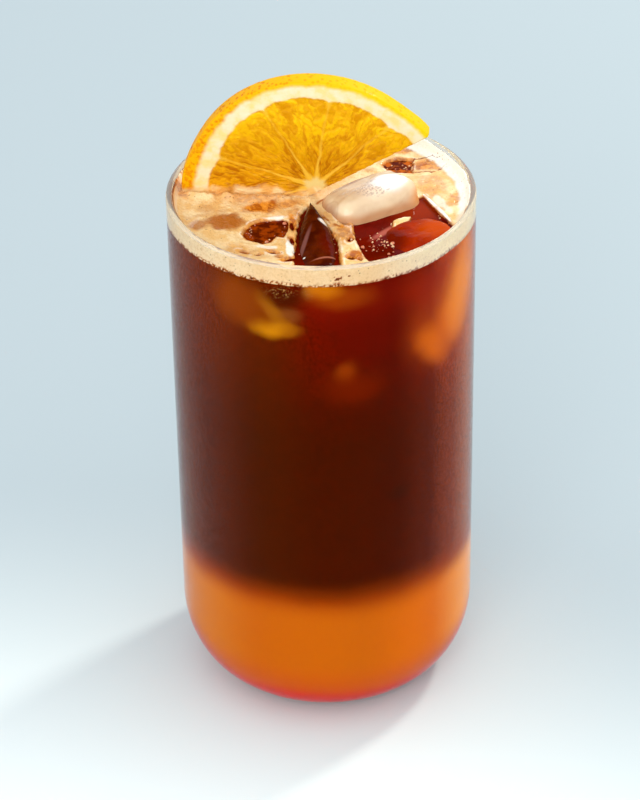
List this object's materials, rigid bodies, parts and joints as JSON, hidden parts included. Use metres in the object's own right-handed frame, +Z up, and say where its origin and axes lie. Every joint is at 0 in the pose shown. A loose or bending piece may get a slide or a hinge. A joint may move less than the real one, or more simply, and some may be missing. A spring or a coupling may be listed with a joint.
{
  "type": "iced coffee over orange juice in a tumbler",
  "caption": "Straight rounded glass tumbler filled with orange juice under dark coffee, a skin of foam, ice blocks and a half slice of orange standing in it.",
  "frame": {"origin": "centre of the tumbler's round foot, on the surface it stands on", "axes": "+Z up along the tumbler's axis, -Y to the front that the orange slice's cut face looks at, +X to the right seen from the front"},
  "size_m": [0.08, 0.08, 0.1777],
  "materials": {
    "glass_look": "clear, misted with condensation",
    "juice_look": "cloudy orange liquid",
    "coffee_look": "dark red-brown liquid",
    "foam_look": "cream-coloured foam",
    "orange_look": "wet fruit",
    "ice_look": "wet, partly frosted"
  },
  "bodies": {
    "root": {"glass": "glass_look", "juice_layer": "juice_look", "coffee": "coffee_look", "foam": "foam_look", "orange_slice": "orange_look", "ice_middle": "ice_look", "ice_front": "ice_look", "ice_left": "ice_look", "ice_right": "ice_look", "ice_back": "ice_look"}
  },
  "joints": []
}
